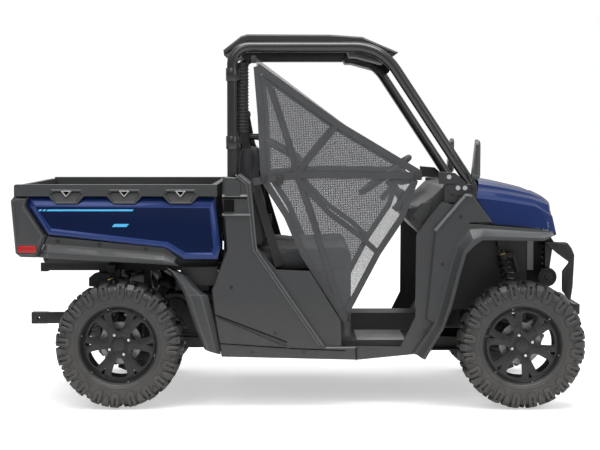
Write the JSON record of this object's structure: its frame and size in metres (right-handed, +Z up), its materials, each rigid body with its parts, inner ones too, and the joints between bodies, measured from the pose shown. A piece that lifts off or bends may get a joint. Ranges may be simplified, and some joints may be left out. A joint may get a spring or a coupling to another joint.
{
  "type": "side by side utility vehicle",
  "caption": "Utility vehicle with two-part bench seat, roll cage, hard roof, side nets, tilting load bed with tailgate, hinged hood and steered front wheels.",
  "frame": {"origin": "on the ground, under the middle of the vehicle's length and width", "axes": "+X to the vehicle's front, +Y to its left, +Z up"},
  "size_m": [3.05, 1.58, 1.974],
  "materials": {
    "tyre": "black tread rubber",
    "wheel_black": "satin black",
    "frame_black": "black powder coat",
    "body_black": "fine grain black",
    "body_grey": "charcoal, fine grain",
    "paint_blue": "navy paint",
    "seat_vinyl": "black vinyl",
    "cast_metal": "dark cast metal",
    "knuckle_iron": "black cast iron",
    "damper_steel": "black spring steel",
    "silencer_steel": "dull steel",
    "net_webbing": "grey webbing and mesh",
    "lamp_red": "red lens",
    "lamp_clear": "clear lens"
  },
  "bodies": {
    "chassis": {"chassis_frame": "frame_black", "suspension_arms": "frame_black", "roll_cage_sides": "frame_black", "cage_crossbars": "frame_black", "hitch_receiver": "frame_black", "steering_column": "frame_black", "cab_floor": "body_black", "seat_box": "body_black", "dashboard": "body_black", "skid_plate": "body_black", "front_fascia": "body_black", "radiator": "body_black", "intake_duct": "body_black", "mirrors": "body_black", "side_panels": "body_grey", "wheel_flares": "body_grey", "front_bumper": "body_grey", "roof_panel": "body_grey", "seat_cushion": "seat_vinyl", "seat_back": "seat_vinyl", "engine_block": "cast_metal", "driveline": "cast_metal", "rack_housing": "cast_metal", "rear_knuckles": "knuckle_iron", "dampers": "damper_steel", "silencer": "silencer_steel", "side_nets": "net_webbing", "head_lamps": "lamp_clear"},
    "steering_wheel": {"steering_wheel": "body_black"},
    "rack": {"tie_rods": "frame_black"},
    "knuckle_right": {"front_knuckle_right": "knuckle_iron"},
    "knuckle_left": {"front_knuckle_left": "knuckle_iron"},
    "wheel_front_right": {"tyre_front_right": "tyre", "rim_front_right": "wheel_black"},
    "wheel_front_left": {"tyre_front_left": "tyre", "rim_front_left": "wheel_black"},
    "wheel_rear_right": {"tyre_rear_right": "tyre", "rim_rear_right": "wheel_black"},
    "wheel_rear_left": {"tyre_rear_left": "tyre", "rim_rear_left": "wheel_black"},
    "hood": {"hood": "paint_blue"},
    "bed": {"bed_tub": "body_grey", "bed_sides": "paint_blue", "bed_trims": "body_grey", "tail_lamps": "lamp_red"},
    "tailgate": {"tailgate": "body_grey"}
  },
  "joints": [
    {"name": "steering_turn", "type": "hinge", "parent": "chassis", "child": "steering_wheel", "pos_m": [0.5, 0.38, 1.199], "axis": [-0.5934, 0, 0.8049], "range_deg": [-270, 270]},
    {"name": "rack_slide", "type": "slide", "parent": "chassis", "child": "rack", "axis": [0, 1, 0], "range_m": [-0.0707, 0.0707]},
    {"name": "knuckle_right_steer", "type": "hinge", "parent": "chassis", "child": "knuckle_right", "pos_m": [1.164, -0.6, 0.336], "axis": [0, 0, 1], "range_deg": [-28.01, 28.01]},
    {"name": "knuckle_left_steer", "type": "hinge", "parent": "chassis", "child": "knuckle_left", "pos_m": [1.164, 0.6, 0.336], "axis": [0, 0, 1], "range_deg": [-28.01, 28.01]},
    {"name": "wheel_front_right_spin", "type": "hinge", "parent": "knuckle_right", "child": "wheel_front_right", "pos_m": [1.164, -0.665, 0.336], "axis": [0, 1, 0], "continuous": true},
    {"name": "wheel_front_left_spin", "type": "hinge", "parent": "knuckle_left", "child": "wheel_front_left", "pos_m": [1.164, 0.665, 0.336], "axis": [0, 1, 0], "continuous": true},
    {"name": "wheel_rear_right_spin", "type": "hinge", "parent": "chassis", "child": "wheel_rear_right", "pos_m": [-0.951, -0.64, 0.336], "axis": [0, 1, 0], "continuous": true},
    {"name": "wheel_rear_left_spin", "type": "hinge", "parent": "chassis", "child": "wheel_rear_left", "pos_m": [-0.951, 0.64, 0.336], "axis": [0, 1, 0], "continuous": true},
    {"name": "hood_lift", "type": "hinge", "parent": "chassis", "child": "hood", "pos_m": [0.916, 0, 1.158], "axis": [0, -1, 0], "range_deg": [0, 55]},
    {"name": "bed_tilt", "type": "hinge", "parent": "chassis", "child": "bed", "pos_m": [-1.395, 0, 0.752], "axis": [0, -1, 0], "range_deg": [0, 40]},
    {"name": "tailgate_swing", "type": "hinge", "parent": "bed", "child": "tailgate", "pos_m": [-1.489, 0, 0.868], "axis": [0, -1, 0], "range_deg": [0, 90]}
  ],
  "couplings": [
    {"joint": "knuckle_right_steer", "follows": "steering_turn", "ratio": 0.1037},
    {"joint": "knuckle_left_steer", "follows": "steering_turn", "ratio": 0.1037},
    {"joint": "rack_slide", "follows": "steering_turn", "m_per_rad": -0.014944}
  ]
}
